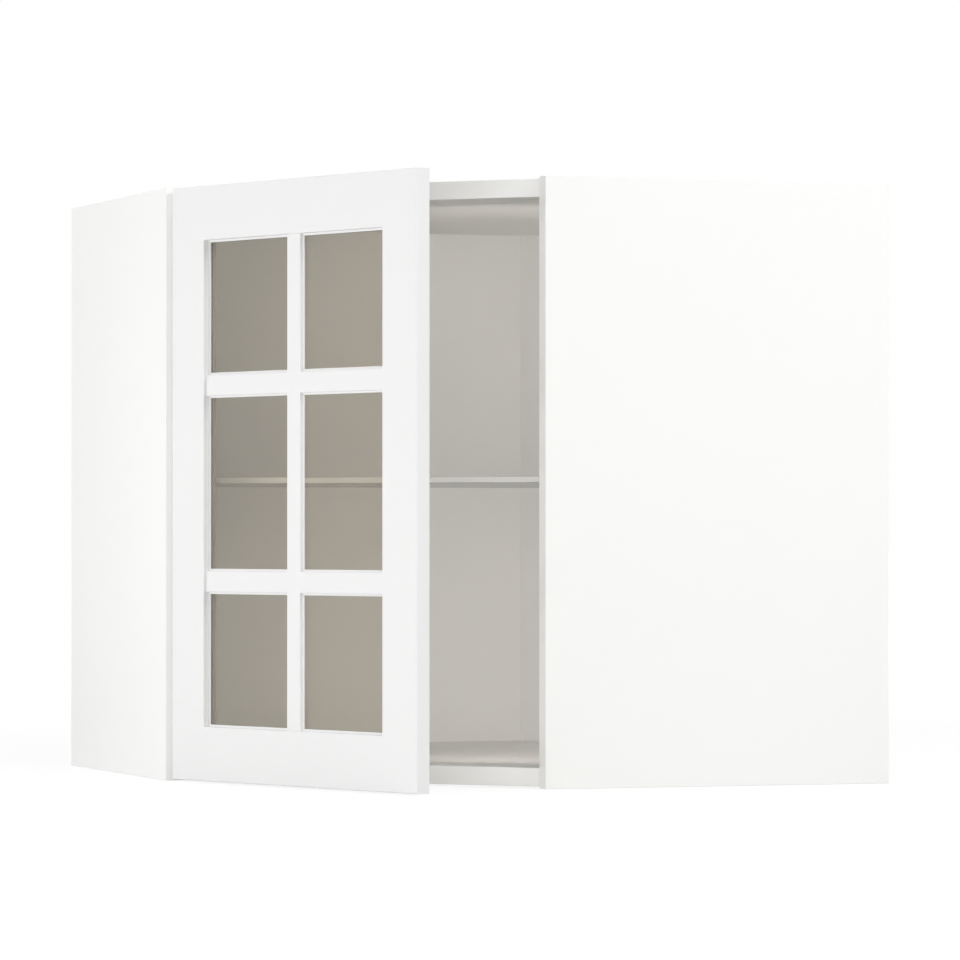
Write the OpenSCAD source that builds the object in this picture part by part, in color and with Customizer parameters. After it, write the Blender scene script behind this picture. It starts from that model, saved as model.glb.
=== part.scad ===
// Diagonal corner wall cabinet with one glazed door on concealed hinges.
// Origin: foot of the corner where the two walls meet. The cabinet fills +X and -Y, and +Z is up.
// The door is drawn ajar, at open_angle degrees from closed.

/* [Cabinet] */
// Length of the cabinet along each wall
wall_run = 665; // [600:1:760]
// Depth of each side panel, from the wall to its front edge
side_depth = 366; // [320:1:390]
// Height of the side panels
cabinet_h = 600; // [560:1:1000]
// Thickness of the side, top and bottom boards
board_t = 18; // [16:0.5:22]
// Setback of the top and bottom boards from the ends of the sides
end_inset = 2; // [0:0.5:6]
// Thickness of the back panels
back_t = 8; // [6:0.5:12]
// Length cut off each wall run by the diagonal corner panel
corner_cut = 149; // [100:1:180]

/* [Shelf] */
// Height of the shelf's underside
shelf_z = 300; // [250:1:350]
// Thickness of the glass shelf
shelf_t = 6; // [5:0.5:10]
// Clearance between the shelf and the carcass
shelf_gap = 2; // [1:0.5:5]
// Setback of the shelf's front edge from the carcass front
shelf_setback = 14; // [6:1:60]
// Number of support holes in each row
support_rows = 5; // [1:2:5]
// Pitch of the support holes
support_pitch = 48; // [32:1:60]
// Diameter of a support peg
peg_d = 5; // [4:0.5:7]

/* [Door] */
// Angle at which the door stands open
open_angle = 25.4; // [0:0.1:85]
// Thickness of the door frame
door_t = 16; // [16:0.5:22]
// Gap between the closed door and the carcass front
door_gap = 2.5; // [2.5:0.1:4]
// Height left clear above and below the door
door_end_gap = 1.5; // [1:0.5:4]
// Width left clear at the door's free edge
free_reveal = 0.4; // [0.2:0.1:4]
// Width of each stile
stile_w = 53.5; // [50:0.5:80]
// Height of each rail
rail_h = 54.5; // [50:0.5:80]
// Width of a glazing bar
bar_w = 21; // [14:0.5:30]
// Depth from the frame's face to the bars' face
bar_setback = 3.3; // [1:0.1:5]
// Height of the upper and lower panes
outer_pane_h = 135.25; // [90:0.25:180]

/* [Glazing] */
// Depth from the frame's face to the glass
glass_setback = 8; // [7:0.5:9]
// Thickness of the door glass
glass_t = 4; // [3:0.5:5]
// Width of the step round each pane
step_w = 2.2; // [1:0.1:4]
// Thickness of the step round each pane
step_t = 1.5; // [0.5:0.1:3]
// Width of glass hidden behind the frame
glass_lap = 7; // [4:0.5:8]
// Clearance round the edge of the glass
glass_gap = 0.5; // [0.2:0.1:1]

/* [Hinges] */
// Distance from the door's ends to the hinge cups
hinge_inset = 97.5; // [80:0.5:140]
// Diameter of the hinge cup
cup_d = 35; // [33:0.5:37]
// Wood left between the cup and the door's edge
cup_edge = 3; // [2.5:0.1:3.4]
// Depth of the hinge cup
cup_depth = 12; // [12:0.1:12.6]
// Distance from the door's edge to the cup pin
cup_pin_in = 8.6; // [8.4:0.1:9]
// Depth of the cup pin below the door's back
cup_pin_deep = 8.5; // [8:0.1:8.8]
// Distance of the arm pin behind the side panel's front edge
arm_pin_back = 18; // [17:0.1:19]
// Distance of the arm pin from the side panel's inner face
arm_pin_off = 3.8; // [3.8:0.1:4.4]
// Diameter of the hinge pins
pin_d = 2.5; // [2:0.1:2.6]
// Share of the door's swing that the hinge links make
link_share = 0.139; // [0.1:0.001:0.16]
// Distance of the mounting screws behind the side panel's front edge
plate_back = 37; // [36:1:40]
// Spacing of the mounting screws
plate_pitch = 32; // [30:1:40]

/* [Fittings] */
// Diameter of a cam lock
cam_d = 15; // [12:0.5:16]
// Distance from the board's end to the cam lock's centre
cam_in = 24; // [20:1:34]
// Diameter of a dowel
dowel_d = 8; // [6:0.5:8]
// Length of a dowel
dowel_l = 30; // [24:1:36]
// Height of the wall bolt holes below the top of the cabinet
wall_bolt_drop = 60; // [50:1:120]
// Diameter of the wall bolt holes
wall_bolt_d = 8; // [6:0.5:10]

/* [Hidden] */
$fn = 48;

// Overlap for cuts that must pass through a face
cut = 1;
// Clearance of a peg, dowel or screw in its hole, on the radius
fit = 0.05;

// Carcass
inner = wall_run - board_t;
front_v = (side_depth + inner) / sqrt(2);
open_half = (inner - side_depth) / sqrt(2);
top_z = cabinet_h - end_inset - board_t;
bottom_z = end_inset;
carcass_h = cabinet_h - 2 * end_inset;
board_mid = board_t / 2;

// Door
door_w = 2 * open_half - free_reveal;
door_h = cabinet_h - 2 * door_end_gap;
window_x0 = stile_w + step_w;
window_z0 = rail_h + step_w;
rebate_x = window_x0 - glass_lap - glass_gap;
rebate_z = window_z0 - glass_lap - glass_gap;
step_e = glass_setback - step_t;
bar_zs = [rail_h + outer_pane_h + bar_w / 2, door_h - rail_h - outer_pane_h - bar_w / 2];
lap_e = (bar_setback + glass_setback) / 2;
bead_w = glass_lap + glass_gap;
bead_joint = 0.1;

// Hinges, in plan: X along the front, Y into the cabinet
hinge_zs = [door_end_gap + hinge_inset, cabinet_h - door_end_gap - hinge_inset];
cup_r = cup_d / 2;
cup_x = cup_edge + cup_r;
cup_wall_gap = 0.1;
pin_r = pin_d / 2;
run_fit = 0.05;
eye_r = pin_r + 1.15;
link_t = 2;
link_half = 5;
cup_half = 7.3;
pocket_d = cup_depth - 0.8;
pocket_wall = 4;
eye_gap = 0.3;
pin_fit = 0.02;
pin_seat = 2;
pin_proud = 0.5;
link_bends = [[12, 3.2], [17, 9.5], [10, 21]];
arm_x = side_depth - arm_pin_back;
arm_y = -inner + arm_pin_off;
arm_pin = [(arm_x + arm_y) / sqrt(2), (arm_y - arm_x) / sqrt(2)];
door_face = -(front_v + door_gap + door_t);
door_back = -(front_v + door_gap);
cup_pin = [-open_half + cup_pin_in, door_back - cup_pin_deep];
link_turn = link_share * open_angle;
door_turn = open_angle - link_turn;

// Hinge hardware on the side panel
plate_t = 2;
plate_h = plate_pitch + 16;
plate_w = 14;
block_h = 8;
block_half = 7.2;
block_front = 27;
block_back = 61;
arm_half = 7.4;
arm_t = 1.5;
arm_over = 1;
arm_lift = 0.3;
arm_screw_back = 50;
arm_screw_r = 2.4;
arm_head_r = 4;
arm_head_h = 2.2;
arm_thread_l = 6;
adjust_back = 34;
adjust_r = 2;
adjust_in = 4;
adjust_proud = 0.8;
plate_screw_l = 11;
plate_screw_r = 2.4;
plate_head_r = 4.2;
plate_head_h = 1.8;
screw_play = 0.4;

// Flange on the cup
flange_t = 1;
flange_screw_x = 9.5;
flange_pitch = 45;
flange_w = 14;
flange_end = 6;
flange_rim = 1.5;
cup_screw_r = 1.7;
cup_screw_l = 9;
cup_head_r = 3.4;
cup_head_h = 1.2;

// Fittings
cam_r = cam_d / 2;
cam_depth = 12.5;
cam_gap = 0.1;
bolt_r = 2.9;
bolt_neck_r = 2.5;
bolt_head_r = 3.6;
cam_from_rear = 60;
cam_from_front = 70;
dowel_past_cam = 50;
cam_xs = [cam_from_rear, side_depth - cam_from_front];
dowel_xs = [cam_from_rear + dowel_past_cam, side_depth - cam_from_front - dowel_past_cam];
bolt_in = 11;
dowel_in = 10;
bracket_w = 40;
bracket_t = 2.5;
bracket_z = cabinet_h - wall_bolt_drop;
bracket_screw_dx = [0.45 * bracket_w, 0.8 * bracket_w];
bracket_screw_r = 2.15;
bracket_head_r = 4;
bracket_screw_l = 12;
peg_in = 8;
peg_back_in = 5;
peg_out = 9;
peg_tab_t = 3;
peg_from_rear = 70;
peg_from_front = 96;
peg_past_corner = 150;
peg_xs = [peg_from_rear, side_depth - peg_from_front];
peg_rear = corner_cut + peg_past_corner;
peg_z = shelf_z - peg_tab_t - peg_d / 2;
bumper_r = 4;
bumper_gap = 0.3;

white_board = [0.95, 0.95, 0.94];
white_paint = [0.96, 0.96, 0.96];
steel = [0.72, 0.73, 0.75];
zinc = [0.62, 0.63, 0.65];

// The same thing on the other wall, mirrored in the cabinet's diagonal
module other_side() mirror([1, 1, 0]) children();

// Plan frame of the diagonal front: X to the right along it, Y into the cabinet
module front_frame() rotate([0, 0, 45]) children();

// Turns its children clockwise, seen from above, about an upright axis through p
module swung(p, angle) {
    translate([p[0], p[1], 0])
        rotate([0, 0, -angle])
            translate([-p[0], -p[1], 0])
                children();
}

// Carries a hinge link, drawn at the closed door, to its place with the door ajar
module on_link() front_frame() swung(arm_pin, link_turn) children();

// Carries a door piece, drawn in the door's own frame, to its place with the door ajar
module on_door() {
    on_link()
        swung(cup_pin, door_turn)
            translate([-open_half, door_face, door_end_gap])
                children();
}

// Frame at the inner front corner of the left side panel
module on_side(z) translate([side_depth, -inner, z]) children();

// A rod along Z from z0 to z1
module rod_z(r, z0, z1) translate([0, 0, z0]) cylinder(r = r, h = z1 - z0);

// A rod along Y from y0 to y1
module rod_y(r, y0, y1) translate([0, y0, 0]) rotate([-90, 0, 0]) cylinder(r = r, h = y1 - y0);

// A rod along X from x0 to x1
module rod_x(r, x0, x1) translate([x0, 0, 0]) rotate([0, 90, 0]) cylinder(r = r, h = x1 - x0);

// Side panel with its blind holes, on the left
module side_panel() {
    difference() {
        translate([0, -wall_run, 0]) cube([side_depth, board_t, cabinet_h]);
        for (z = [bottom_z + board_mid, top_z + board_mid]) {
            for (x = cam_xs) translate([x, -inner, z]) rod_y(bolt_r + fit, -bolt_in - fit, cut);
            for (x = dowel_xs) translate([x, -inner, z]) rod_y(dowel_d / 2 + fit, -dowel_in - fit, cut);
        }
        for (x = peg_xs)
            for (i = [0 : support_rows - 1])
                translate([x, -inner, peg_z + (i - (support_rows - 1) / 2) * support_pitch])
                    rod_y(peg_d / 2 + fit, -peg_in - fit, cut);
        for (dx = bracket_screw_dx)
            translate([back_t + dx, -inner, bracket_z]) rod_y(bracket_screw_r + fit, -bracket_screw_l, cut);
    }
}

// Left side panel, which also carries the hinge plates
module side_panel_left() {
    color(white_board) difference() {
        side_panel();
        for (z = hinge_zs)
            for (s = [-1, 1])
                translate([side_depth - plate_back, -inner, z + s * plate_pitch / 2])
                    rod_y(plate_screw_r + fit, -plate_screw_l, cut);
    }
}

module side_panel_right() color(white_board) other_side() side_panel();

// Plan of the top and bottom boards
module board_plan() {
    inner_cut = corner_cut + back_t * sqrt(2);
    polygon([
        [side_depth, -inner],
        [inner, -side_depth],
        [inner, -back_t],
        [inner_cut - back_t, -back_t],
        [back_t, back_t - inner_cut],
        [back_t, -inner]
    ]);
}

// Bores for the cams, their bolts and the dowels along one side, from the outer face at z = 0 downwards
module board_bores() {
    for (x = cam_xs) {
        translate([x, -inner + cam_in, 0]) rod_z(cam_r, -cam_depth, cut);
        translate([x, -inner, -board_mid]) rod_y(bolt_head_r + 0.4, -cut, cam_in);
    }
    for (x = dowel_xs)
        translate([x, -inner, -board_mid]) rod_y(dowel_d / 2 + fit, -cut, dowel_l - dowel_in + fit);
}

// A top or bottom board, outer face at z = 0 and body below
module board() {
    difference() {
        translate([0, 0, -board_t]) linear_extrude(board_t) board_plan();
        board_bores();
        other_side() board_bores();
    }
}

module top_panel() color(white_board) translate([0, 0, top_z + board_t]) board();

module bottom_panel() color(white_board) translate([0, 0, bottom_z]) mirror([0, 0, 1]) board();

// Back panel on the left wall, mitred to the corner panel, with the wall bolt and rear peg holes
module back_panel() {
    difference() {
        translate([0, 0, end_inset]) linear_extrude(carcass_h) polygon([
            [0, -inner],
            [back_t, -inner],
            [back_t, -corner_cut - back_t * (sqrt(2) - 1)],
            [0, -corner_cut]
        ]);
        translate([0, -inner + bracket_w / 2, bracket_z]) rod_x(wall_bolt_d / 2, -cut, back_t + cut);
        translate([0, -peg_rear, peg_z]) rod_x(peg_d / 2 + fit, back_t - peg_back_in - fit, back_t + cut);
    }
}

module back_panel_left() color(white_board) back_panel();

module back_panel_right() color(white_board) other_side() back_panel();

// Diagonal panel across the wall corner
module rear_corner_panel() {
    mitre = corner_cut + back_t * (sqrt(2) - 1);
    color(white_board) translate([0, 0, end_inset]) linear_extrude(carcass_h) polygon([
        [0, -corner_cut],
        [back_t, -mitre],
        [mitre, -back_t],
        [corner_cut, 0]
    ]);
}

// Glass shelf, with the same outline as the inside
module shelf() {
    back = back_t + shelf_gap;
    side = inner - shelf_gap;
    diagonal = corner_cut + (back_t + shelf_gap) * sqrt(2);
    front = front_v * sqrt(2) - shelf_setback * sqrt(2);
    color([0.75, 0.87, 0.82, 0.6]) translate([0, 0, shelf_z]) linear_extrude(shelf_t) polygon([
        [front - side, -side],
        [side, side - front],
        [side, -back],
        [diagonal - back, -back],
        [back, back - diagonal],
        [back, -side]
    ]);
}

// A shelf peg along +Y from a face at y = 0, with a flat tab under the shelf
module peg(depth) {
    gap = 0.1;
    rod_y(peg_d / 2, -depth, peg_out);
    translate([-peg_d, gap, peg_d / 2]) cube([2 * peg_d, peg_out - gap, peg_tab_t]);
    translate([-peg_d / 2, gap, 0]) cube([peg_d, peg_out - gap, peg_d / 2 + peg_tab_t / 2]);
}

// The pegs on the left, two in the side panel and one in the back panel
module pegs_left() {
    for (x = peg_xs) translate([x, -inner, peg_z]) peg(peg_in);
    translate([back_t, -peg_rear, peg_z]) rotate([0, 0, -90]) peg(peg_back_in);
}

module shelf_pegs() {
    color(steel) {
        pegs_left();
        other_side() pegs_left();
    }
}

// Calls its children at both ends of the carcass, seen as a top board's outer face at z = 0
module at_boards() {
    translate([0, 0, top_z + board_t]) children();
    translate([0, 0, bottom_z]) mirror([0, 0, 1]) children();
}

// A cam lock with the slot that draws in the bolt, and a cross slot in its head
module cam() {
    slot_half = bolt_head_r + 0.5;
    past_head = 3;
    cross = [8, 1.6, 2];
    difference() {
        rod_z(cam_r - cam_gap, -cam_depth + cam_gap, 0);
        translate([-slot_half, -cam_r - cut, -cam_depth - cut])
            cube([2 * slot_half, cam_r + cut + past_head, cam_depth + cut - board_mid + slot_half]);
        for (a = [0, 90])
            rotate([0, 0, a])
                translate([-cross[0] / 2, -cross[1] / 2, -cross[2]])
                    cube([cross[0], cross[1], cross[2] + cut]);
    }
}

module cam_locks() {
    color(zinc) at_boards() {
        for (x = cam_xs) translate([x, -inner + cam_in, 0]) cam();
        other_side() for (x = cam_xs) translate([x, -inner + cam_in, 0]) cam();
    }
}

// A cam bolt: thread in the side panel, collar, neck and head
module cam_bolt() {
    collar_l = 2;
    head_l = 3;
    rod_y(bolt_r, -bolt_in, 0);
    rod_y(bolt_head_r, 0, collar_l);
    rod_y(bolt_neck_r, collar_l, cam_in - head_l);
    rod_y(bolt_head_r, cam_in - head_l, cam_in);
}

module cam_bolts() {
    color(steel) at_boards() {
        for (x = cam_xs) translate([x, -inner, -board_mid]) cam_bolt();
        other_side() for (x = cam_xs) translate([x, -inner, -board_mid]) cam_bolt();
    }
}

module dowels_left() {
    for (x = dowel_xs)
        translate([x, -inner, -board_mid]) rod_y(dowel_d / 2, -dowel_in, dowel_l - dowel_in);
}

module dowels() {
    color("burlywood") at_boards() {
        dowels_left();
        other_side() dowels_left();
    }
}

// Steel angle in the top rear corner: one leg on the side panel, one on the back panel
module wall_bracket() {
    z0 = bracket_z - bracket_w / 2;
    difference() {
        union() {
            translate([back_t, -inner, z0]) cube([bracket_w, bracket_t, bracket_w]);
            translate([back_t, -inner, z0]) cube([bracket_t, bracket_w, bracket_w]);
        }
        translate([0, -inner + bracket_w / 2, bracket_z])
            rod_x(wall_bolt_d / 2, back_t - cut, back_t + bracket_t + cut);
        for (dx = bracket_screw_dx)
            translate([back_t + dx, -inner, bracket_z])
                rod_y(bracket_screw_r + screw_play, -cut, bracket_t + cut);
    }
}

module wall_bracket_left() color(steel) wall_bracket();

module wall_bracket_right() color(steel) other_side() wall_bracket();

// Round-headed screw along -Y, head standing on a face at y = 0
module screw_y(shank_r, head_r, length, head_h) {
    rod_y(shank_r, -length, 0);
    rod_y(head_r, 0, head_h);
}

module bracket_screws_left() {
    for (dx = bracket_screw_dx)
        translate([back_t + dx, -inner + bracket_t, bracket_z])
            screw_y(bracket_screw_r, bracket_head_r, bracket_screw_l + bracket_t - 1, 2);
}

module bracket_screws() {
    color(steel) {
        bracket_screws_left();
        other_side() bracket_screws_left();
    }
}

// Mounting plate: two wings for the screws and a raised block that carries the arm
module hinge_plate(z) {
    color(steel) on_side(z) difference() {
        union() {
            translate([-plate_back - plate_w / 2, 0, -plate_h / 2]) cube([plate_w, plate_t, plate_h]);
            translate([-block_back, 0, -block_half])
                cube([block_back - block_front, block_h, 2 * block_half]);
        }
        for (s = [-1, 1])
            translate([-plate_back, 0, s * plate_pitch / 2])
                rod_y(plate_screw_r + screw_play, -cut, plate_t + cut);
        translate([-arm_screw_back, 0, 0])
            rod_y(arm_screw_r + fit, block_h - arm_thread_l, block_h + cut);
        translate([-adjust_back, 0, 0])
            rod_y(adjust_r + screw_play, block_h - adjust_in - fit, block_h + cut);
    }
}

module hinge_plate_upper() hinge_plate(hinge_zs[1]);

module hinge_plate_lower() hinge_plate(hinge_zs[0]);

module hinge_plate_screws() {
    color(steel)
        for (z = hinge_zs)
            for (s = [-1, 1])
                translate([side_depth - plate_back, -inner + plate_t, z + s * plate_pitch / 2])
                    screw_y(plate_screw_r, plate_head_r, plate_screw_l + plate_t - 1, plate_head_h);
}

// Side view of an arm's cheek, pin hole apart
module cheek_outline() {
    nose_r = arm_pin_off - 0.5;
    translate([-arm_pin_back, arm_pin_off]) circle(r = nose_r);
    polygon([
        [-arm_pin_back, arm_pin_off - nose_r],
        [-arm_pin_back + nose_r * cos(60), arm_pin_off + nose_r * sin(60)],
        [-block_front + arm_over, block_h + arm_t],
        [-block_back - arm_over, block_h + arm_t],
        [-block_back - arm_over, plate_t + arm_lift],
        [-block_front + arm_over, plate_t + arm_lift]
    ]);
}

// Hinge arm: a channel over the block, whose cheeks carry the arm pin in front
module hinge_arm(z) {
    color(steel) on_side(z) difference() {
        union() {
            for (s = [-1, 1])
                translate([0, 0, s > 0 ? arm_half : -arm_half - arm_t])
                    linear_extrude(arm_t) cheek_outline();
            translate([-block_back - arm_over, block_h, -arm_half - arm_t])
                cube([block_back - block_front + 2 * arm_over, arm_t, 2 * (arm_half + arm_t)]);
        }
        translate([-arm_pin_back, arm_pin_off, 0])
            rod_z(pin_r + pin_fit, -arm_half - arm_t - cut, arm_half + arm_t + cut);
        translate([-arm_screw_back, 0, 0])
            rod_y(arm_screw_r + screw_play, block_h - cut, block_h + arm_t + cut);
        translate([-adjust_back, 0, 0]) rod_y(adjust_r + fit, block_h - cut, block_h + arm_t + cut);
    }
}

module hinge_arm_upper() hinge_arm(hinge_zs[1]);

module hinge_arm_lower() hinge_arm(hinge_zs[0]);

module hinge_arm_screws() {
    color(steel)
        for (z = hinge_zs)
            translate([side_depth - arm_screw_back, -inner + block_h + arm_t, z])
                screw_y(arm_screw_r, arm_head_r, arm_thread_l + arm_t - 0.5, arm_head_h);
}

// Headless screws in the arms, whose ends stand in the plates and set the door sideways
module hinge_adjusting_screws() {
    color(steel)
        for (z = hinge_zs)
            translate([side_depth - adjust_back, -inner, z])
                rod_y(adjust_r, block_h - adjust_in, block_h + arm_t + adjust_proud);
}

module hinge_arm_pins() {
    pin_half = arm_half + arm_t + pin_proud;
    color(steel)
        for (z = hinge_zs)
            on_side(z) translate([-arm_pin_back, arm_pin_off, 0]) rod_z(pin_r, -pin_half, pin_half);
}

// Unit vector along v
function unit(v) = v / norm(v);

// Direction of a path at its point i, halfway through the bend there
function heading(path, i) =
    i == 0 ? unit(path[1] - path[0])
    : i == len(path) - 1 ? unit(path[i] - path[i - 1])
    : unit(unit(path[i] - path[i - 1]) + unit(path[i + 1] - path[i]));

// Point beside a path's point i, on side s of a strip of thickness t with mitred bends
function beside(path, i, s, t) =
    let (h = heading(path, i), k = i == 0 ? 1 : h * unit(path[i] - path[i - 1]))
    path[i] + s * t / 2 / k * [-h[1], h[0]];

// Outline of a strip of thickness t along a path
function strip(path, t) = [
    for (i = [0 : len(path) - 1]) beside(path, i, 1, t),
    for (i = [len(path) - 1 : -1 : 0]) beside(path, i, -1, t)
];

// Goose-necked inner link from the cup pin, out through the cup's mouth and back to the arm pin
module inner_link(z) {
    path = concat([cup_pin], [for (p = link_bends) cup_pin + p], [arm_pin]);
    color(steel) on_link() translate([0, 0, z]) difference() {
        union() {
            translate([0, 0, -link_half]) linear_extrude(2 * link_half) polygon(strip(path, link_t));
            for (p = [cup_pin, arm_pin]) translate([p[0], p[1], 0]) rod_z(eye_r, -link_half, link_half);
        }
        for (p = [cup_pin, arm_pin])
            translate([p[0], p[1], 0]) rod_z(pin_r + run_fit, -link_half - cut, link_half + cut);
    }
}

module hinge_inner_link_upper() inner_link(hinge_zs[1]);

module hinge_inner_link_lower() inner_link(hinge_zs[0]);

// Hinge cup with its flange, pocket and pin holes, in the door's frame
module hinge_cup(z) {
    pocket_x0 = cup_pin_in - eye_r - eye_gap;
    pocket_x1 = cup_x + cup_r - pocket_wall;
    color(steel) on_door() translate([0, door_t, z - door_end_gap]) difference() {
        union() {
            translate([cup_x, 0, 0]) rod_y(cup_r - cup_wall_gap, -cup_depth, flange_t);
            translate([cup_x, 0, 0]) rod_y(cup_r + flange_rim, 0, flange_t);
            translate([cup_x + flange_screw_x - flange_w / 2, 0, -flange_pitch / 2 - flange_end])
                cube([flange_w, flange_t, flange_pitch + 2 * flange_end]);
        }
        translate([pocket_x0, -pocket_d, -cup_half])
            cube([pocket_x1 - pocket_x0, pocket_d + flange_t + cut, 2 * cup_half]);
        translate([cup_pin_in, -cup_pin_deep, 0])
            rod_z(pin_r + pin_fit, -cup_half - pin_seat, cup_half + pin_seat);
        for (s = [-1, 1])
            translate([cup_x + flange_screw_x, 0, s * flange_pitch / 2])
                rod_y(cup_screw_r + screw_play, -cut, flange_t + cut);
    }
}

module hinge_cup_upper() hinge_cup(hinge_zs[1]);

module hinge_cup_lower() hinge_cup(hinge_zs[0]);

module hinge_cup_pins() {
    pin_half = cup_half + pin_seat - 0.1;
    color(steel) on_door()
        for (z = hinge_zs)
            translate([cup_pin_in, door_t - cup_pin_deep, z - door_end_gap])
                rod_z(pin_r, -pin_half, pin_half);
}

module hinge_cup_screws() {
    color(steel) on_door()
        for (z = hinge_zs)
            for (s = [-1, 1])
                translate([cup_x + flange_screw_x, door_t + flange_t, z - door_end_gap])
                    translate([0, 0, s * flange_pitch / 2])
                        screw_y(cup_screw_r, cup_head_r, cup_screw_l, cup_head_h);
}

// Rebate for the glass, cut from the back of the frame
module rebate() {
    translate([rebate_x, glass_setback, rebate_z])
        cube([door_w - 2 * rebate_x, door_t - glass_setback + cut, door_h - 2 * rebate_z]);
}

// A stile with the step along its inner edge, drawn at the hinge side
module stile() {
    difference() {
        union() {
            cube([stile_w, door_t, door_h]);
            translate([stile_w - cut, step_e, rail_h]) cube([step_w + cut, step_t, door_h - 2 * rail_h]);
        }
        rebate();
    }
}

// A rail between the stiles with the step along its inner edge, drawn at the bottom
module rail() {
    difference() {
        union() {
            translate([stile_w, 0, 0]) cube([door_w - 2 * stile_w, door_t, rail_h]);
            translate([window_x0, step_e, rail_h - cut]) cube([door_w - 2 * window_x0, step_t, step_w + cut]);
        }
        rebate();
    }
}

module door_stile_hinge_side() {
    color(white_paint) on_door() difference() {
        stile();
        for (z = hinge_zs) {
            translate([cup_x, 0, z - door_end_gap])
                rod_y(cup_r, door_t - cup_depth - 2 * cup_wall_gap, door_t + cut);
            for (s = [-1, 1])
                translate([cup_x + flange_screw_x, 0, z - door_end_gap + s * flange_pitch / 2])
                    rod_y(cup_screw_r + fit, door_t - cup_screw_l, door_t + cut);
        }
    }
}

module door_stile_free_side() {
    color(white_paint) on_door() translate([door_w, 0, 0]) mirror([1, 0, 0]) stile();
}

module door_rail_bottom() color(white_paint) on_door() rail();

module door_rail_top() color(white_paint) on_door() translate([0, 0, door_h]) mirror([0, 0, 1]) rail();

// Glazing bars before they are halved at the crossings
module bar_vertical_blank() {
    x = door_w / 2;
    translate([x - bar_w / 2, bar_setback, rail_h]) cube([bar_w, step_e - bar_setback, door_h - 2 * rail_h]);
    translate([x - bar_w / 2 - step_w, step_e, window_z0])
        cube([bar_w + 2 * step_w, step_t, door_h - 2 * window_z0]);
}

module bar_level_blank(z) {
    translate([stile_w, bar_setback, z - bar_w / 2])
        cube([door_w - 2 * stile_w, step_e - bar_setback, bar_w]);
    translate([window_x0, step_e, z - bar_w / 2 - step_w])
        cube([door_w - 2 * window_x0, step_t, bar_w + 2 * step_w]);
}

// The vertical bar keeps the front half of each crossing
module glazing_bar_vertical() {
    color(white_paint) on_door() difference() {
        bar_vertical_blank();
        intersection() {
            for (z = bar_zs) bar_level_blank(z);
            translate([0, lap_e, 0]) cube([door_w, door_t, door_h]);
        }
    }
}

// A level bar keeps the back half of its crossing
module glazing_bar_level(z) {
    color(white_paint) on_door() difference() {
        bar_level_blank(z);
        intersection() {
            bar_vertical_blank();
            cube([door_w, lap_e, door_h]);
        }
    }
}

module glazing_bar_upper() glazing_bar_level(bar_zs[1]);

module glazing_bar_lower() glazing_bar_level(bar_zs[0]);

module door_glass() {
    x = rebate_x + glass_gap;
    z = rebate_z + glass_gap;
    color([0.78, 0.82, 0.8, 0.35]) on_door()
        translate([x, glass_setback, z]) cube([door_w - 2 * x, glass_t, door_h - 2 * z]);
}

// Four beads behind the glass: the upright ones run through, the level ones fit between
module glazing_beads() {
    e = glass_setback + glass_t;
    color(white_paint) on_door() {
        for (x = [rebate_x, door_w - rebate_x - bead_w])
            translate([x, e, rebate_z]) cube([bead_w, door_t - e, door_h - 2 * rebate_z]);
        for (z = [rebate_z, door_h - rebate_z - bead_w])
            translate([rebate_x + bead_w + bead_joint, e, z])
                cube([door_w - 2 * (rebate_x + bead_w + bead_joint), door_t - e, bead_w]);
    }
}

// Soft buffers on the back of the free stile, which meet the top and bottom boards
module door_bumpers() {
    x = door_w - stile_w / 2;
    low = end_inset + board_mid - door_end_gap;
    color([0.9, 0.92, 0.92]) on_door()
        for (z = [low, door_h - low])
            translate([x, door_t, z]) {
                rod_y(bumper_r, 0, door_gap - 1);
                rod_y(bumper_r - 1, 0, door_gap - bumper_gap);
            }
}

side_panel_left();
side_panel_right();
top_panel();
bottom_panel();
back_panel_left();
back_panel_right();
rear_corner_panel();
shelf();
shelf_pegs();
cam_locks();
cam_bolts();
dowels();
wall_bracket_left();
wall_bracket_right();
bracket_screws();
hinge_plate_upper();
hinge_plate_lower();
hinge_arm_upper();
hinge_arm_lower();
hinge_plate_screws();
hinge_arm_screws();
hinge_adjusting_screws();
hinge_arm_pins();
hinge_inner_link_upper();
hinge_inner_link_lower();
hinge_cup_upper();
hinge_cup_lower();
hinge_cup_pins();
hinge_cup_screws();
door_stile_hinge_side();
door_stile_free_side();
door_rail_top();
door_rail_bottom();
glazing_bar_vertical();
glazing_bar_upper();
glazing_bar_lower();
door_glass();
glazing_beads();
door_bumpers();
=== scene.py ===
import math

import bmesh
import bpy
from mathutils import Matrix, Vector


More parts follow.
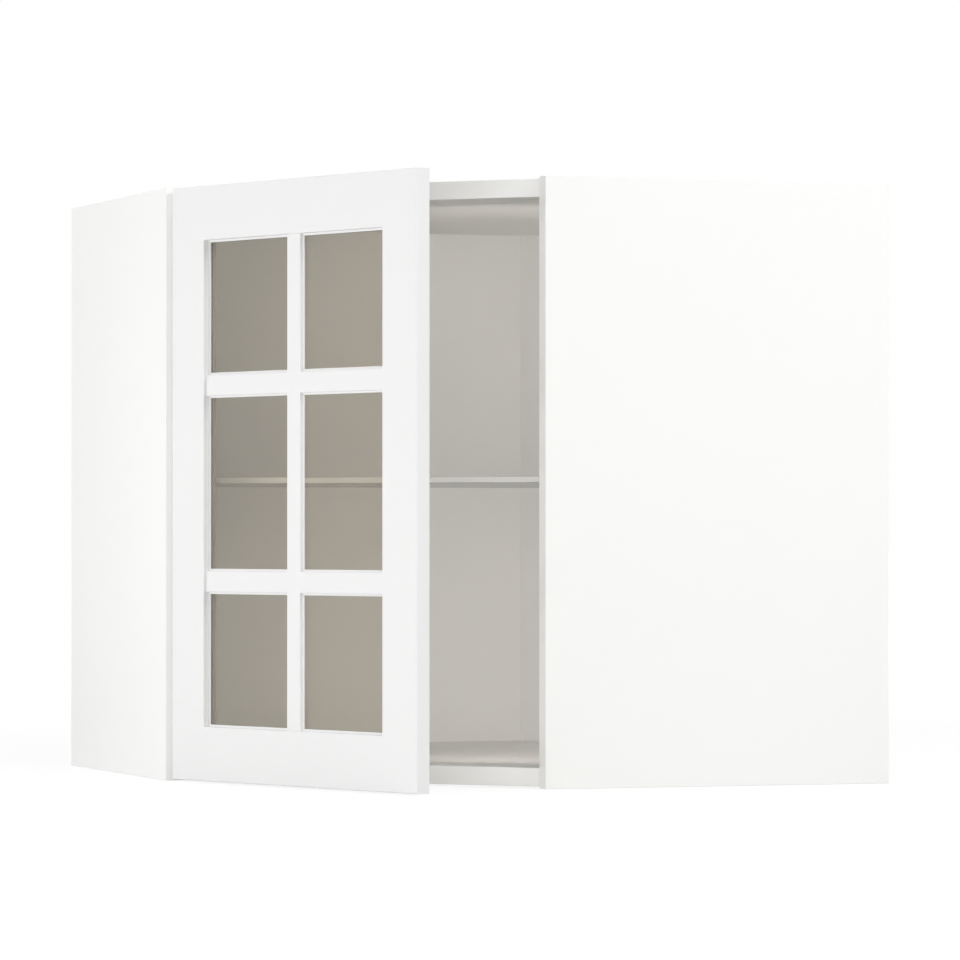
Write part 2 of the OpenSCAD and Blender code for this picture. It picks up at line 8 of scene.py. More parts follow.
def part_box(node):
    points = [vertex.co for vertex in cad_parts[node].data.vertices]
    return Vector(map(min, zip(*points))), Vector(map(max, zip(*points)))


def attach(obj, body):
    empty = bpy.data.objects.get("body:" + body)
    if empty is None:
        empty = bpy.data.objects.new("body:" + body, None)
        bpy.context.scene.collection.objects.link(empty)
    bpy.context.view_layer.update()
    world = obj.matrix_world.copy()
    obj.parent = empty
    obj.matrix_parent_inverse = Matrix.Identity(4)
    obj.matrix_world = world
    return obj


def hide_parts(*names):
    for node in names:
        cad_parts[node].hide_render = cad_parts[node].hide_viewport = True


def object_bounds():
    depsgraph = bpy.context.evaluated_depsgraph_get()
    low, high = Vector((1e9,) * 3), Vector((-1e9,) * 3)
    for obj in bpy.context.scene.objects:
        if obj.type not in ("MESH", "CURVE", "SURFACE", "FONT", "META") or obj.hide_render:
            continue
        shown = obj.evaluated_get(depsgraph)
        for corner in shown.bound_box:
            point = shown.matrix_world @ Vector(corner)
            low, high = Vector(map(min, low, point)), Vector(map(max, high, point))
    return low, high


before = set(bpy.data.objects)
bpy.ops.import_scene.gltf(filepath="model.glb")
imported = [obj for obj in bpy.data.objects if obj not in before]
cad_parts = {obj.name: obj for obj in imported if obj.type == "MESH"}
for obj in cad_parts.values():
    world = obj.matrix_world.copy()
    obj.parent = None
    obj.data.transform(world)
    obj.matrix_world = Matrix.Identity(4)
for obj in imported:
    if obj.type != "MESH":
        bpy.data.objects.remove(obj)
cad_low, cad_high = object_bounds()
scene = bpy.context.scene
scene.view_settings.view_transform = "Standard"

# Viewpoint
# A long lens more than five metres away, a little below the height of the shelf and tilted up a hair.
# It sees the right side panel about 20 degrees off square, and the door at a slant.
camera_place = (5.4510, -2.1360, 0.2508)
camera_tilt_deg = 0.575
camera_turn_deg = 70.423
lens_mm = 195.83
film_mm = 36.0
sight_reach = 200.0
camera_data = bpy.data.cameras.new("camera")
camera_data.lens = lens_mm
camera_data.sensor_width = film_mm
camera_data.clip_end = sight_reach
camera = bpy.data.objects.new("camera", camera_data)
camera.location = camera_place
camera.rotation_euler = (math.radians(90 + camera_tilt_deg), 0, math.radians(camera_turn_deg))
scene.collection.objects.link(camera)
scene.camera = camera

# Studio light
# A white room with six softboxes round the cabinet and a weak warm fill in its opening. The room is
# seen as plain white, but lights the cabinet less than that.
room_light = 0.45
light_bounces = 8
far_reach = 3.0
near_reach = 1.4
above_place = (0.4, -0.4, 3.0)
inside_place = Vector((0.55, -0.42, 0.29))
into_corner = Vector((-0.4, 0.4, 0))
fill_colour = (1.0, 0.94, 0.89)
fill_spread_deg = 140
cabinet_middle = (cad_low + cad_high) / 2
world = bpy.data.worlds.new("room")
scene.world = world
world.use_nodes = True
room = world.node_tree
soft_room = room.nodes["Background"]
soft_room.inputs["Color"].default_value = (1, 1, 1, 1)
soft_room.inputs["Strength"].default_value = room_light
white_room = room.nodes.new("ShaderNodeBackground")
white_room.inputs["Color"].default_value = (1, 1, 1, 1)
room_mix = room.nodes.new("ShaderNodeMixShader")


def seen_by_eye(tree):
    """Socket that is 1 for rays from the camera, straight or by way of a glossy face or glass."""
    ray = tree.nodes.new("ShaderNodeLightPath")
    seen = ray.outputs["Is Camera Ray"]
    for kind in ("Is Glossy Ray", "Is Transmission Ray"):
        either = tree.nodes.new("ShaderNodeMath")
        either.operation = "MAXIMUM"
        tree.links.new(seen, either.inputs[0])
        tree.links.new(ray.outputs[kind], either.inputs[1])
        seen = either.outputs[0]
    return seen


room.links.new(seen_by_eye(room), room_mix.inputs[0])
room.links.new(soft_room.outputs[0], room_mix.inputs[1])
room.links.new(white_room.outputs[0], room_mix.inputs[2])
room.links.new(room_mix.outputs[0], room.nodes["World Output"].inputs["Surface"])
scene.cycles.diffuse_bounces = light_bounces


def softbox(name, place, aim, width, height, power, colour=(1, 1, 1)):
    """A flat lamp at place that faces aim and isn't seen itself."""
    lamp = bpy.data.lights.new(name, "AREA")
    lamp.shape = "RECTANGLE"
    lamp.size = width
    lamp.size_y = height
    lamp.energy = power
    lamp.color = colour
    box = bpy.data.objects.new(name, lamp)
    box.location = place
    box.rotation_euler = (Vector(aim) - Vector(place)).to_track_quat("-Z", "Y").to_euler()
    box.visible_camera = False
    scene.collection.objects.link(box)
    return box


def around(bearing, rise, reach):
    """Place at a bearing and rise from the cabinet's middle, in degrees, and a distance from it."""
    level = math.radians(bearing)
    up = math.radians(rise)
    way = Vector((math.cos(level) * math.cos(up), math.sin(level) * math.cos(up), math.sin(up)))
    return cabinet_middle + reach * way


softbox(
    "left_level_softbox", around(-90, 0, far_reach), cabinet_middle, width=1.6, height=0.6, power=12)
softbox(
    "left_near_softbox", around(-75, 0, near_reach), cabinet_middle, width=0.8, height=0.5, power=2.1)
softbox(
    "left_high_softbox", around(-105, 25, far_reach), cabinet_middle, width=2.4, height=1.0, power=8.5)
softbox(
    "front_softbox", around(-30, 0, far_reach), cabinet_middle, width=1.6, height=0.6, power=14.5)
softbox(
    "right_high_softbox", around(32, 35, far_reach), cabinet_middle, width=1.6, height=1.0, power=34)
softbox(
    "overhead_softbox", above_place, cabinet_middle, width=1.6, height=1.6, power=22)
opening_fill = softbox(
    "opening_fill", inside_place, inside_place + into_corner, width=0.18, height=0.42, power=0.78,
    colour=fill_colour)
opening_fill.data.spread = math.radians(fill_spread_deg)
opening_fill.visible_glossy = False
opening_fill.visible_transmission = False

# Floor
# A plain white floor under the cabinet. Close by it takes the cabinet's soft shadow, and further off it
# turns into the plain white of the room.
floor_reach = 60.0
floor_drop = 0.0003
floor_colour = (0.82, 0.82, 0.82)
floor_roughness = 0.9
floor_glow = 1.06
shadow_reach = 0.7
white_reach = 2.5
white_share_near = 0.8
floor_mesh = bpy.data.meshes.new("floor")
floor_mesh.from_pydata(
    [(x * floor_reach, y * floor_reach, 0.0) for x, y in ((-1, -1), (1, -1), (1, 1), (-1, 1))],
    [], [(0, 1, 2, 3)])
floor = bpy.data.objects.new("floor", floor_mesh)
floor.location.z = -floor_drop
scene.collection.objects.link(floor)
floor_paint = bpy.data.materials.new("floor_paint")
floor_paint.use_nodes = True
floor_tree = floor_paint.node_tree
matt_floor = floor_tree.nodes["Principled BSDF"]
matt_floor.inputs["Base Color"].default_value = (*floor_colour, 1)
matt_floor.inputs["Roughness"].default_value = floor_roughness
bright_floor = floor_tree.nodes.new("ShaderNodeEmission")
bright_floor.inputs["Strength"].default_value = floor_glow
floor_place = floor_tree.nodes.new("ShaderNodeTexCoord")
floor_distance = floor_tree.nodes.new("ShaderNodeVectorMath")
floor_distance.operation = "LENGTH"
whiteness = floor_tree.nodes.new("ShaderNodeMapRange")
whiteness.inputs["From Min"].default_value = shadow_reach
whiteness.inputs["From Max"].default_value = white_reach
whiteness.inputs["To Min"].default_value = white_share_near
whiteness.inputs["To Max"].default_value = 1.0
floor_share = floor_tree.nodes.new("ShaderNodeMath")
floor_share.operation = "MULTIPLY"
floor_mix = floor_tree.nodes.new("ShaderNodeMixShader")
floor_tree.links.new(floor_place.outputs["Object"], floor_distance.inputs[0])
floor_tree.links.new(floor_distance.outputs["Value"], whiteness.inputs["Value"])
floor_tree.links.new(seen_by_eye(floor_tree), floor_share.inputs[0])
floor_tree.links.new(whiteness.outputs["Result"], floor_share.inputs[1])
floor_tree.links.new(floor_share.outputs[0], floor_mix.inputs[0])
floor_tree.links.new(matt_floor.outputs[0], floor_mix.inputs[1])
floor_tree.links.new(bright_floor.outputs[0], floor_mix.inputs[2])
floor_tree.links.new(floor_mix.outputs[0], floor_tree.nodes["Material Output"].inputs["Surface"])
floor_mesh.materials.append(floor_paint)

# Side panels
# Two 18 mm boards of white-faced particleboard, with edging on the front, top and bottom edges. Their
# inner faces are bored for pegs, dowels and bolts, and both stand 2 mm past the top and bottom boards.
board_arris = 0.0005
long_edge = 0.012
same_point = 0.000002
tiny_edge = 0.000006
flat_deg = 0.5
sharp_deg = 30
smooth_deg = 35
arris_facets = 2


def softened(node, arris, shortest=0.0, splits=()):
    """The node's mesh, with the edges that are long and sharp enough rounded off.

    The heights in splits part its edges first."""
    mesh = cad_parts[node].data.copy()
    mesh.materials.clear()
    shape = bmesh.new()
    shape.from_mesh(mesh)
    bmesh.ops.remove_doubles(shape, verts=shape.verts, dist=same_point)
    bmesh.ops.dissolve_limit(
        shape, angle_limit=math.radians(flat_deg), use_dissolve_boundaries=False,
        verts=shape.verts, edges=shape.edges, delimit=set())
    for height in splits:
        everything = shape.verts[:] + shape.edges[:] + shape.faces[:]
        bmesh.ops.bisect_plane(shape, geom=everything, plane_co=(0, 0, height), plane_no=(0, 0, 1))
    limit = math.radians(sharp_deg)
    edges = [
        e for e in shape.edges
        if len(e.link_faces) == 2 and e.calc_length() > shortest and e.calc_face_angle() > limit]
    bmesh.ops.bevel(
        shape, geom=edges, offset=arris, offset_type="OFFSET", segments=arris_facets, profile=0.5,
        affect="EDGES", clamp_overlap=True)
    bmesh.ops.dissolve_degenerate(shape, dist=tiny_edge, edges=shape.edges)
    shape.to_mesh(mesh)
    shape.free()
    return mesh


def finished(name, mesh):
    """An object of the mesh, shaded smooth on its rounds and flat on its faces."""
    for face in mesh.polygons:
        face.use_smooth = True
    mesh.set_sharp_from_angle(angle=math.radians(smooth_deg))
    piece = bpy.data.objects.new(name, mesh)
    scene.collection.objects.link(piece)
    even = piece.modifiers.new("even_faces", "WEIGHTED_NORMAL")
    even.keep_sharp = True
    return piece


def eased(node, arris, shortest=0.0, splits=()):
    """A piece of the node's shape with its arrises rounded."""
    return finished(node + "_dressed", softened(node, arris, shortest, splits))


tone_patch = 0.3
sheen_patch = 0.02
sheen_change = 0.05


def coat(name, colour, roughness, peel, peel_size, shade=0.02):
    """A foil, paint or plain stuff: an even colour, a fine peel and slight changes of tone and sheen."""
    material = bpy.data.materials.new(name)
    material.use_nodes = True
    tree = material.node_tree
    shader = tree.nodes["Principled BSDF"]
    place = tree.nodes.new("ShaderNodeTexCoord")

    def noise(size, detail):
        node = tree.nodes.new("ShaderNodeTexNoise")
        node.inputs["Scale"].default_value = 1 / size
        node.inputs["Detail"].default_value = detail
        tree.links.new(place.outputs["Object"], node.inputs["Vector"])
        return node.outputs["Fac"]

    tone = tree.nodes.new("ShaderNodeMix")
    tone.data_type = "RGBA"
    tone.inputs["A"].default_value = (*colour, 1)
    tone.inputs["B"].default_value = (*[c * (1 - shade) for c in colour], 1)
    tree.links.new(noise(tone_patch, detail=2), tone.inputs["Factor"])
    tree.links.new(tone.outputs["Result"], shader.inputs["Base Color"])
    sheen = tree.nodes.new("ShaderNodeMapRange")
    sheen.inputs["To Min"].default_value = roughness - sheen_change
    sheen.inputs["To Max"].default_value = roughness + sheen_change
    tree.links.new(noise(sheen_patch, detail=3), sheen.inputs["Value"])
    tree.links.new(sheen.outputs["Result"], shader.inputs["Roughness"])
    bump = tree.nodes.new("ShaderNodeBump")
    bump.inputs["Strength"].default_value = 0.3
    bump.inputs["Distance"].default_value = peel
    tree.links.new(noise(peel_size, detail=2), bump.inputs["Height"])
    tree.links.new(bump.outputs["Normal"], shader.inputs["Normal"])
    return material


board_face = coat(
    "board_face", (0.886, 0.886, 0.871), roughness=0.45, peel=0.00005, peel_size=0.0012)
# The edging's white is lighter than the face's: partly its own tone, partly painted light on the front
# edges.
board_edging_and_light = coat(
    "board_edging_and_light", (0.945, 0.945, 0.93), roughness=0.40, peel=0.00003, peel_size=0.0008)
square_enough = 0.99


def edged(piece, face, edging, towards):
    """Gives the piece its face material, and its edging on faces that look in one of the directions."""
    piece.data.materials.append(face)
    piece.data.materials.append(edging)
    for polygon in piece.data.polygons:
        if any(polygon.normal.dot(Vector(way).normalized()) > square_enough for way in towards):
            polygon.material_index = 1


for node, front in (("side_panel_left", (1, 0, 0)), ("side_panel_right", (0, -1, 0))):
    panel = eased(node, board_arris, shortest=long_edge)
    edged(panel, board_face, board_edging_and_light, [front, (0, 0, 1), (0, 0, -1)])
    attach(panel, "carcass")
    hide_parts(node)

# Top and bottom boards
# Five-cornered boards of the same stock, held between the sides by dowels and cams. Only their
# diagonal front edge carries edging.
for node in ("top_panel", "bottom_panel"):
    board = eased(node, board_arris, shortest=long_edge)
    edged(board, board_face, board_edging_and_light, [(1, -1, 0)])
    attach(board, "carcass")
    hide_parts(node)

# Back panels and corner panel
# Thin white boards let in behind the top and bottom. The narrow one crosses the corner of the room on
# the diagonal and is mitred to the other two.
thin_arris = 0.0003
for node in ("back_panel_left", "back_panel_right", "rear_corner_panel"):
    back = eased(node, thin_arris, shortest=long_edge)
    back.data.materials.append(board_face)
    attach(back, "carcass")
    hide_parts(node)

# Shelf
# One sheet of 6 mm toughened glass, cut to the inside of the cabinet. Its edges are ground, which leaves
# them pale and matt. It lies loose on six pegs.
shelf_arris = 0.0006
glass_index = 1.52
glass_wave = 0.0002
glass_waves_per_metre = 9
light_let_through = 0.92
# Painted shade: the shelf's faces mix in a dark diffuse, which darkens the glass from every side.
painted_shade_colour = (0.1, 0.11, 0.10)
shelf_painted_shade_share = 0.22
level_enough = 0.9


def clear_glass(name, tint, painted_shade_share=0.0):
    """Float glass, tinted and with a faint wave. Shadow rays pass it, and lose a little light.

    The part painted_shade_share of what meets the eye is a dark diffuse: painted shade on the sheet."""
    material = bpy.data.materials.new(name)
    material.use_nodes = True
    tree = material.node_tree
    shader = tree.nodes["Principled BSDF"]
    shader.inputs["Base Color"].default_value = (*tint, 1)
    shader.inputs["Transmission Weight"].default_value = 1
    shader.inputs["Roughness"].default_value = 0
    shader.inputs["IOR"].default_value = glass_index
    place = tree.nodes.new("ShaderNodeTexCoord")
    noise = tree.nodes.new("ShaderNodeTexNoise")
    noise.inputs["Scale"].default_value = glass_waves_per_metre
    tree.links.new(place.outputs["Object"], noise.inputs["Vector"])
    bump = tree.nodes.new("ShaderNodeBump")
    bump.inputs["Strength"].default_value = 0.2
    bump.inputs["Distance"].default_value = glass_wave
    tree.links.new(noise.outputs["Fac"], bump.inputs["Height"])
    tree.links.new(bump.outputs["Normal"], shader.inputs["Normal"])
    # A dark diffuse mixed into the glass, as painted shade.
    depth = tree.nodes.new("ShaderNodeBsdfDiffuse")
    depth.inputs["Color"].default_value = (*painted_shade_colour, 1)
    sheet = tree.nodes.new("ShaderNodeMixShader")
    sheet.inputs[0].default_value = painted_shade_share
    tree.links.new(shader.outputs[0], sheet.inputs[1])
    tree.links.new(depth.outputs[0], sheet.inputs[2])
    open_to_light = tree.nodes.new("ShaderNodeBsdfTransparent")
    open_to_light.inputs["Color"].default_value = (*[light_let_through] * 3, 1)
    ray = tree.nodes.new("ShaderNodeLightPath")
    mix = tree.nodes.new("ShaderNodeMixShader")
    tree.links.new(ray.outputs["Is Shadow Ray"], mix.inputs[0])
    tree.links.new(sheet.outputs[0], mix.inputs[1])
    tree.links.new(open_to_light.outputs[0], mix.inputs[2])
    tree.links.new(mix.outputs[0], tree.nodes["Material Output"].inputs["Surface"])
    return material


shelf_face = clear_glass("shelf_face", (0.95, 0.955, 0.94), shelf_painted_shade_share)
shelf_edge = coat(
    "shelf_edge", (0.66, 0.665, 0.64), roughness=0.5, peel=0.00005, peel_size=0.0006)
shelf = eased("shelf", shelf_arris)
shelf.data.materials.append(shelf_face)
shelf.data.materials.append(shelf_edge)
for polygon in shelf.data.polygons:
    polygon.material_index = int(abs(polygon.normal.z) < level_enough)
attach(shelf, "carcass")
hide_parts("shelf")

# Shelf pegs
# Six nickel-plated steel pegs pushed into 5 mm holes, four in the side panels and two in the back
# panels, each with a flat tab under the glass.
fitting_arris = 0.0003
fitting_edge = 0.0015


def plated(name, colour, roughness, grain, relief, spread):
    """Plated or cast metal with a fine grain, which stands out by relief and spreads its roughness."""
    material = bpy.data.materials.new(name)
    material.use_nodes = True
    tree = material.node_tree
    shader = tree.nodes["Principled BSDF"]
    shader.inputs["Base Color"].default_value = (*colour, 1)
    shader.inputs["Metallic"].default_value = 1
    place = tree.nodes.new("ShaderNodeTexCoord")
    noise = tree.nodes.new("ShaderNodeTexNoise")
    noise.inputs["Scale"].default_value = 1 / grain
    noise.inputs["Detail"].default_value = 2
    tree.links.new(place.outputs["Object"], noise.inputs["Vector"])
    dull = tree.nodes.new("ShaderNodeMapRange")
    dull.inputs["To Min"].default_value = roughness * (1 - spread)
    dull.inputs["To Max"].default_value = roughness * (1 + spread)
    tree.links.new(noise.outputs["Fac"], dull.inputs["Value"])
    tree.links.new(dull.outputs["Result"], shader.inputs["Roughness"])
    bump = tree.nodes.new("ShaderNodeBump")
    bump.inputs["Strength"].default_value = 0.5
    bump.inputs["Distance"].default_value = relief
    tree.links.new(noise.outputs["Fac"], bump.inputs["Height"])
    tree.links.new(bump.outputs["Normal"], shader.inputs["Normal"])
    return material


nickel = plated(
    "nickel", (0.78, 0.77, 0.74), roughness=0.28, grain=0.0012, relief=0.0000005, spread=0.05)
pegs = eased("shelf_pegs", fitting_arris, shortest=fitting_edge)
pegs.data.materials.append(nickel)
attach(pegs, "carcass")
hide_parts("shelf_pegs")

# Cams, bolts and dowels
# The joints of the carcass: beech dowels place the boards, and zinc cams draw in the steel bolts.
# Only the cams' cross-slotted heads show, on the outer faces of the top and bottom.
cast_zinc = plated(
    "cast_zinc", (0.62, 0.63, 0.64), roughness=0.45, grain=0.0015, relief=0.00001, spread=0.2)
beech = coat(
    "beech", (0.62, 0.43, 0.24), roughness=0.7, peel=0.0001, peel_size=0.001, shade=0.25)
cams = eased("cam_locks", fitting_arris, shortest=fitting_edge)
cams.data.materials.append(cast_zinc)
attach(cams, "carcass")
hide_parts("cam_locks")
for node, material in (("cam_bolts", nickel), ("dowels", beech)):
    hidden_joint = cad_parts[node]
    hidden_joint.data.materials.clear()
    hidden_joint.data.materials.append(material)

# Wall brackets
# Folded steel angles screwed to the side panels in the upper rear corners. The bolt that hangs the
# cabinet passes through each of them and the back panel.
bracket_arris = 0.0005
bracket_edge = 0.002
galvanised = plated(
    "galvanised", (0.70, 0.72, 0.74), roughness=0.4, grain=0.006, relief=0.000003, spread=0.25)
for node in ("wall_bracket_left", "wall_bracket_right"):
    bracket = eased(node, bracket_arris, shortest=bracket_edge)
    bracket.data.materials.append(galvanised)
    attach(bracket, "carcass")
    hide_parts(node)

# Hinge plates, arms, links and cups
# Two concealed hinges of pressed and nickel-plated steel. The plate is screwed to the side panel, the
# arm clips over it, and the link swings between the arm's pin and the pin in the cup.
plate_arris = 0.0004
pressed_arris = 0.0003
pressed_edge = 0.0012
for part, body, arris in (
        ("hinge_plate", "carcass", plate_arris), ("hinge_arm", "carcass", pressed_arris),
        ("hinge_inner_link", "hinge_links", pressed_arris), ("hinge_cup", "door", pressed_arris)):
    for end in ("upper", "lower"):
        hinge_piece = eased(f"{part}_{end}", arris, shortest=pressed_edge)
        hinge_piece.data.materials.append(nickel)
        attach(hinge_piece, body)
        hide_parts(f"{part}_{end}")

# Screws and pins
# Cross-headed steel screws hold the brackets, plates, arms and cups, and plain steel pins are riveted
# through the arms and cups.
screw_arris = 0.0004
cross_past_head = 0.0003
cross_arm_share = 0.22
cross_foot_share = 0.45
front_deg = 45
ajar_deg = 25.4
door_turn = math.radians(front_deg - ajar_deg)
upward = Vector((0, 0, 1))
off_left_panel = Vector((0, 1, 0))
off_right_panel = Vector((-1, 0, 0))
door_back_way = Vector((-math.sin(door_turn), math.cos(door_turn), 0))


def carved(mesh, cutter):
    """The mesh with the cutter's shape taken out of it."""
    block = bpy.data.objects.new("block", mesh)
    tool = bpy.data.objects.new("tool", cutter)
    scene.collection.objects.link(block)
    scene.collection.objects.link(tool)
    cut = block.modifiers.new("cut", "BOOLEAN")
    cut.object = tool
    result = bpy.data.meshes.new_from_object(block.evaluated_get(bpy.context.evaluated_depsgraph_get()))
    bpy.data.objects.remove(block)
    bpy.data.objects.remove(tool)
    return result


def separate_screws(shape):
    """The points of each screw of a shape that holds several."""
    met = set()
    screws = []
    for first in shape.verts:
        if first in met:
            continue
        met.add(first)
        screw = [first]
        for vert in screw:
            for edge in vert.link_edges:
                other = edge.other_vert(vert)
                if other not in met:
                    met.add(other)
                    screw.append(other)
        screws.append([vert.co for vert in screw])
    return screws


def length_along(points, way):
    """How far the points reach along a direction."""
    heights = [point.dot(way) for point in points]
    return max(heights) - min(heights)


def crosses(mesh, head_ways, reach, deep):
    """A tapered cross for each screw of the mesh, in its head.

    A screw lies along the one of head_ways in which it is longest, and its head looks that way."""
    shape = bmesh.new()
    shape.from_mesh(mesh)
    cutter = bmesh.new()
    half = reach * cross_arm_share
    outline = [
        (reach, half), (half, half), (half, reach), (-half, reach), (-half, half), (-reach, half),
        (-reach, -half), (-half, -half), (-half, -reach), (half, -reach), (half, -half), (reach, -half)]
    for points in separate_screws(shape):
        way = max(head_ways, key=lambda w: length_along(points, w))
        middle = sum(points, Vector()) / len(points)
        head = middle + (max(point.dot(way) for point in points) - middle.dot(way)) * way
        side = way.cross(upward)
        rings = []
        for rise, share in ((cross_past_head, 1.0), (-deep, cross_foot_share)):
            rings.append([
                cutter.verts.new(head + rise * way + share * (across * side + up * upward))
                for across, up in outline])
        mouth, foot = rings
        for i in range(len(outline)):
            j = (i + 1) % len(outline)
            cutter.faces.new((mouth[i], mouth[j], foot[j], foot[i]))
        cutter.faces.new(mouth[::-1])
        cutter.faces.new(foot)
    bmesh.ops.recalc_face_normals(cutter, faces=cutter.faces)
    cut_mesh = bpy.data.meshes.new("crosses")
    cutter.to_mesh(cut_mesh)
    cutter.free()
    shape.free()
    return cut_mesh


for node, body, head_ways, cross_reach, cross_deep in (
        ("bracket_screws", "carcass", (off_left_panel, off_right_panel), 0.0026, 0.0014),
        ("hinge_plate_screws", "carcass", (off_left_panel,), 0.0024, 0.0012),
        ("hinge_arm_screws", "carcass", (off_left_panel,), 0.0024, 0.0012),
        ("hinge_adjusting_screws", "carcass", (off_left_panel,), 0.0014, 0.0012),
        ("hinge_cup_screws", "door", (door_back_way,), 0.0024, 0.0012)):
    screw_mesh = softened(node, screw_arris)
    screw_mesh = carved(screw_mesh, crosses(screw_mesh, head_ways, cross_reach, cross_deep))
    screws = finished(node + "_dressed", screw_mesh)
    screws.data.materials.append(nickel)
    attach(screws, body)
    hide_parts(node)
for node, body in (("hinge_arm_pins", "carcass"), ("hinge_cup_pins", "door")):
    pins = eased(node, screw_arris)
    pins.data.materials.append(nickel)
    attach(pins, body)
    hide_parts(node)

# Door frame
# Stiles and rails of fibreboard under white paint, with a rounded front arris, a step round the glass
# and a rebate behind it for the glass and beads. The hinge stile is bored for the two cups.
door_t = 0.016
stile_w = 0.0535
rail_h = 0.0545
step_w = 0.0022
step_front = 0.0065
step_ease = 0.0003
glass_front = 0.008
glass_lap = 0.0075
front_arris = 0.0014
inner_arris = 0.0010
back_arris = 0.0008
cup_bore_r = 0.0175
cup_bore_deep = 0.0122
cup_in = 0.0205
cup_from_end = 0.0975
past_back = 0.002
bore_sides = 96
stile_low, stile_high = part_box("door_stile_hinge_side")
free_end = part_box("door_stile_free_side")[1].x
door_corner = Vector((stile_low.x + door_t * math.sin(door_turn), stile_low.y, stile_low.z))
door_w = (free_end - door_corner.x) / math.cos(door_turn)
door_h = stile_high.z - stile_low.z
in_door = Matrix.Translation(door_corner) @ Matrix.Rotation(door_turn, 4, "Z")
# The door's white is darker than the boards': partly its own paint, partly painted shade for the dimmer
# door.
door_paint_and_shade = coat(
    "door_paint_and_shade", (0.78, 0.78, 0.778), roughness=0.42, peel=0.00004, peel_size=0.0009)


def rounded(side, edge, depth, radius, start_deg, facets=4):
    """Quarter-round points about a centre at (edge, depth): how far in from the side, and how deep."""
    points = []
    for i in range(facets + 1):
        angle = math.radians(start_deg + 90 * i / facets)
        points.append((side, edge + radius * math.cos(angle), depth + radius * math.sin(angle)))
    return points


frame_section = (
    rounded("outer", front_arris, front_arris, front_arris, 180)
    + rounded("inner", -inner_arris, inner_arris, inner_arris, -90)
    + [("inner", 0, step_front), ("inner", step_w - step_ease, step_front)]
    + [("inner", step_w, step_front + step_ease), ("inner", step_w, glass_front)]
    + [("inner", step_w - glass_lap, glass_front), ("inner", step_w - glass_lap, door_t)]
    + rounded("outer", back_arris, door_t - back_arris, back_arris, 90))


def frame_corner(corner, side, inset, depth):
    """Point of the frame's section at one of its corners, counted round from the hinge side's foot."""
    across = inset + (stile_w if side == "inner" else 0)
    up = inset + (rail_h if side == "inner" else 0)
    return (
        across if corner in (0, 3) else door_w - across,
        depth,
        up if corner in (0, 1) else door_h - up)


def cup_plugs():
    """Two plugs of the size of the cups' bores, that reach out of the frame's back."""
    shape = bmesh.new()
    length = cup_bore_deep + past_back
    for up in (cup_from_end, door_h - cup_from_end):
        place = Matrix.Translation((cup_in, door_t - cup_bore_deep + length / 2, up))
        bmesh.ops.create_cone(
            shape, cap_ends=True, segments=bore_sides, radius1=cup_bore_r, radius2=cup_bore_r,
            depth=length, matrix=in_door @ place @ Matrix.Rotation(math.radians(90), 4, "X"))
    plugs = bpy.data.meshes.new("cup_plugs")
    shape.to_mesh(plugs)
    shape.free()
    return plugs


def frame_member(name, first_corner):
    """The side of the frame between one corner and the next, mitred at both ends."""
    shape = bmesh.new()
    ends = [
        [shape.verts.new(frame_corner(corner % 4, *point)) for point in frame_section]
        for corner in (first_corner, first_corner + 1)]
    for i in range(len(frame_section)):
        j = (i + 1) % len(frame_section)
        shape.faces.new((ends[0][i], ends[1][i], ends[1][j], ends[0][j]))
    shape.faces.new(ends[0])
    shape.faces.new(ends[1][::-1])
    bmesh.ops.recalc_face_normals(shape, faces=shape.faces)
    if shape.calc_volume(signed=True) < 0:
        bmesh.ops.reverse_faces(shape, faces=shape.faces)
    mesh = bpy.data.meshes.new(name)
    shape.to_mesh(mesh)
    shape.free()
    mesh.transform(in_door)
    return mesh


for first_corner, node in enumerate((
        "door_rail_bottom", "door_stile_free_side", "door_rail_top", "door_stile_hinge_side")):
    member_mesh = frame_member(node + "_dressed", first_corner)
    if node == "door_stile_hinge_side":
        member_mesh = carved(member_mesh, cup_plugs())
    member = finished(node + "_dressed", member_mesh)
    member.data.materials.append(door_paint_and_shade)
    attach(member, "door")
    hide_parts(node)

# Glazing bars
# One upright and two level bars of the frame's painted fibreboard, halved over each other and set a
# little behind the frame's face, with the same step at the glass. Their rounded arrises stop where the
# bars cross.
bar_arris = 0.0006
bar_long_edge = 0.03
beside_notch = 0.0001
crossing_heights = []
for node in ("glazing_bar_upper", "glazing_bar_lower"):
    bar_low, bar_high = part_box(node)
    crossing_heights.append(bar_low.z + step_w - beside_notch)
    crossing_heights.append(bar_high.z - step_w + beside_notch)
for node, splits in (
        ("glazing_bar_vertical", crossing_heights), ("glazing_bar_upper", ()), ("glazing_bar_lower", ())):
    bar = eased(node, bar_arris, shortest=bar_long_edge, splits=splits)
    bar.data.materials.append(door_paint_and_shade)
    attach(bar, "door")
    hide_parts(node)

# Door glass
# One 4 mm sheet of warm-tinted glass behind all six openings, with its edges ground. The beads hold it
# in the frame's rebate from behind.
pane_arris = 0.0004
pane_glass = clear_glass("pane_glass", (0.68, 0.64, 0.56))
pane = eased("door_glass", pane_arris)
pane.data.materials.append(pane_glass)
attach(pane, "door")
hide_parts("door_glass")

# Glazing beads
# Four strips pressed into the rebate behind the glass. Their dark warm grey is painted shade.
# Through the glass they show as a dark line of shade round the openings.
bead_arris = 0.0008
bead_long_edge = 0.005
# The beads' dark warm grey is painted shade along the glass's edge.
bead_painted_shade = coat(
    "bead_painted_shade", (0.38, 0.365, 0.34), roughness=0.5, peel=0.00003, peel_size=0.001)
beads = eased("glazing_beads", bead_arris, shortest=bead_long_edge)
beads.data.materials.append(bead_painted_shade)
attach(beads, "door")
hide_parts("glazing_beads")

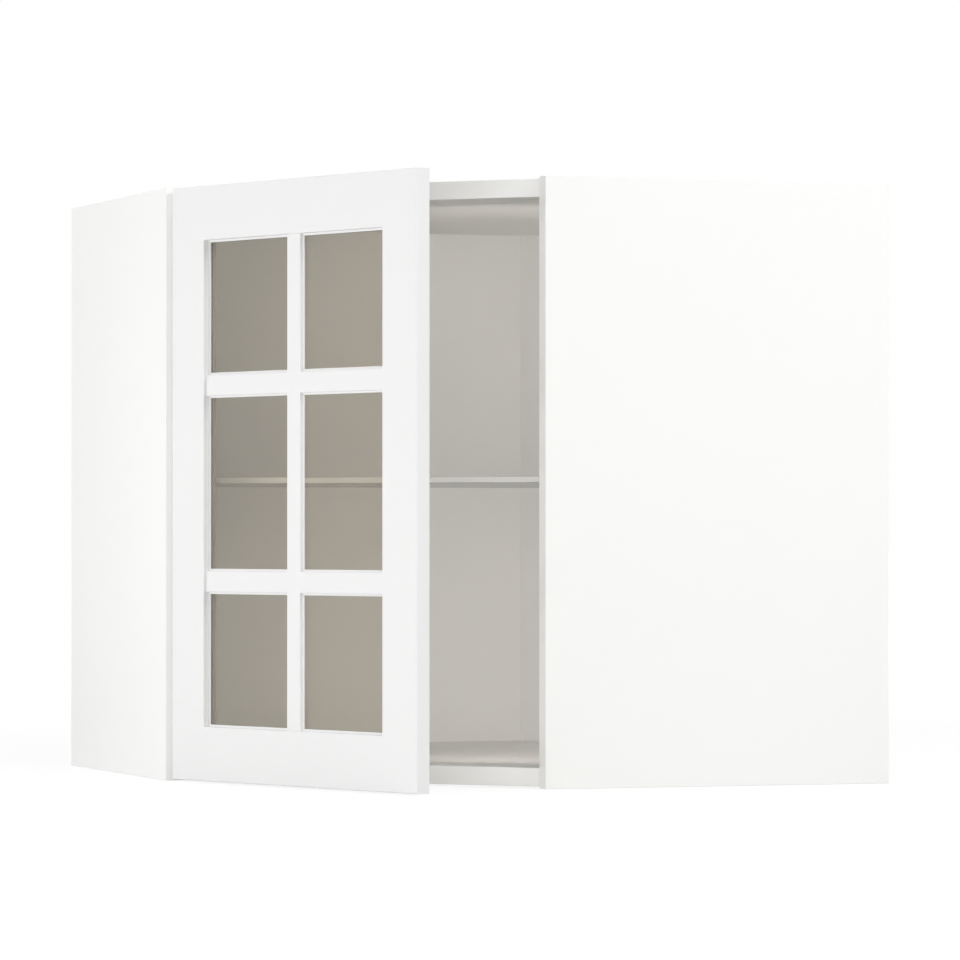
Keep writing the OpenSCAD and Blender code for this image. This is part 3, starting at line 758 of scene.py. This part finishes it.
# Door buffers
# Two soft clear domes stuck to the back of the free stile, each on a low round foot. They meet the top
# and bottom boards when the door shuts.
buffer_sides = 48
dome_facets = 8
foot_share = 0.2
shoulder_share = 0.35
shoulder_in = 0.0002
dome_in = 0.0012
dome_swell = 0.0006
soft_clear = coat(
    "soft_clear", (0.78, 0.80, 0.80), roughness=0.3, peel=0.00002, peel_size=0.001)
buffer_points = [in_door.inverted() @ vert.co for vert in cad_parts["door_bumpers"].data.vertices]
buffer_low = min(point.z for point in buffer_points)
buffer_high = max(point.z for point in buffer_points)
buffer_left = min(point.x for point in buffer_points)
buffer_r = (max(point.x for point in buffer_points) - buffer_left) / 2
buffer_out = max(point.y for point in buffer_points) - door_t
buffer_profile = [
    (buffer_r, 0), (buffer_r, foot_share * buffer_out),
    (buffer_r - shoulder_in, shoulder_share * buffer_out)]
for i in range(dome_facets):
    angle = math.radians(90 * i / dome_facets)
    buffer_profile.append((
        (buffer_r - dome_in) * math.cos(angle) + dome_swell * (1 - math.sin(angle)),
        (shoulder_share + (1 - shoulder_share) * math.sin(angle)) * buffer_out))


def add_buffer(shape, up):
    """Turns the profile round an axis at a height of the door and closes it at the crown and foot."""
    centre = buffer_left + buffer_r
    rings = []
    for radius, out in buffer_profile:
        ring = []
        for i in range(buffer_sides):
            angle = 2 * math.pi * i / buffer_sides
            across = centre + radius * math.cos(angle)
            ring.append(shape.verts.new((across, door_t + out, up + radius * math.sin(angle))))
        rings.append(ring)
    crown = shape.verts.new((centre, door_t + buffer_out, up))
    for i in range(buffer_sides):
        j = (i + 1) % buffer_sides
        for lower, upper in zip(rings, rings[1:]):
            shape.faces.new((lower[i], lower[j], upper[j], upper[i]))
        shape.faces.new((rings[-1][i], rings[-1][j], crown))
    shape.faces.new(rings[0][::-1])


buffer_shape = bmesh.new()
for up in (buffer_low + buffer_r, buffer_high - buffer_r):
    add_buffer(buffer_shape, up)
bmesh.ops.recalc_face_normals(buffer_shape, faces=buffer_shape.faces)
buffer_mesh = bpy.data.meshes.new("door_bumpers_dressed")
buffer_shape.to_mesh(buffer_mesh)
buffer_shape.free()
buffer_mesh.transform(in_door)
buffers = finished("door_bumpers_dressed", buffer_mesh)
buffers.data.materials.append(soft_clear)
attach(buffers, "door")
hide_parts("door_bumpers")
